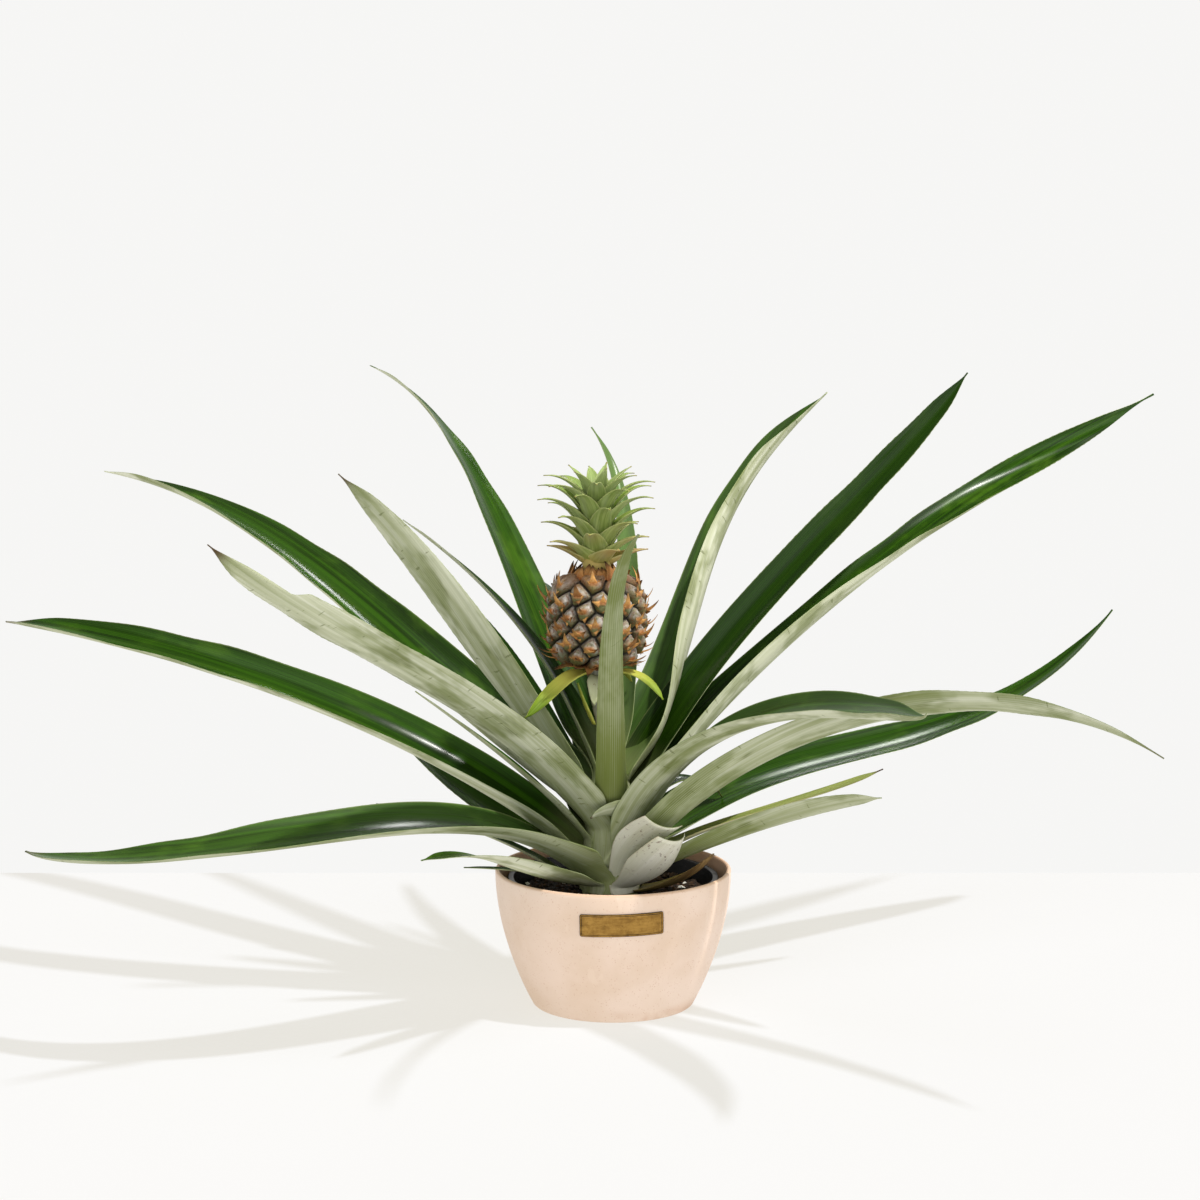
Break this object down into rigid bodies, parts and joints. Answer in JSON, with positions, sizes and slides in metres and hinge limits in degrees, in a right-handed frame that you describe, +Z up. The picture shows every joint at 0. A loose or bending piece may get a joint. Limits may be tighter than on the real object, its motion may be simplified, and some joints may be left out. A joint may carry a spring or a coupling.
{
  "type": "potted pineapple plant",
  "caption": "Small fruiting pineapple plant with arching channelled leaves, in a nursery pot inside a pale peach bowl-shaped pot with a blank brass plate.",
  "frame": {"origin": "centre of the flat underside of the outer pot", "axes": "+Z up, +X to the right and -Y towards the front, the side with the plate"},
  "size_m": [0.8806, 0.6847, 0.4303],
  "materials": {
    "outer_pot": "matte",
    "brass_plate": "satin",
    "nursery_plastic": "satin",
    "soil": "matte",
    "stem": "matte",
    "leaf": "satin",
    "dry_leaf": "matte",
    "bract": "satin",
    "fruit": "satin",
    "crown": "satin"
  },
  "bodies": {
    "root": {"pot": "outer_pot", "blank_plate": "brass_plate", "nursery_pot": "nursery_plastic", "soil": "soil", "stem": "stem", "long_leaf_left": "leaf", "high_leaf_left": "leaf", "torn_leaf_left": "leaf", "broad_leaf_left": "leaf", "tallest_leaf": "leaf", "narrow_leaf_left": "leaf", "back_leaf_left": "leaf", "drooping_leaf_left": "leaf", "low_leaf_left": "leaf", "cut_leaf_left": "leaf", "under_leaf_left": "leaf", "basal_leaf_left": "leaf", "rim_leaf_left": "leaf", "front_leaf": "leaf", "back_leaf": "leaf", "back_leaf_low": "leaf", "back_leaf_right": "leaf", "folded_leaf_right": "leaf", "straight_leaf_right": "leaf", "long_leaf_right": "leaf", "front_leaf_right": "leaf", "folded_tip": "leaf", "arching_leaf_right": "leaf", "twisted_leaf_right": "leaf", "brown_leaf_right": "dry_leaf", "low_leaf_right": "leaf", "bent_leaf_right": "leaf", "withered_sheath": "dry_leaf", "cut_sheath_high": "leaf", "cut_sheath_low": "leaf", "yellow_bract_left": "bract", "yellow_bract_right": "bract", "yellow_bract_back": "bract", "cream_bract": "bract", "stalk_bract": "bract", "fruit": "fruit", "crown": "crown"}
  },
  "joints": []
}
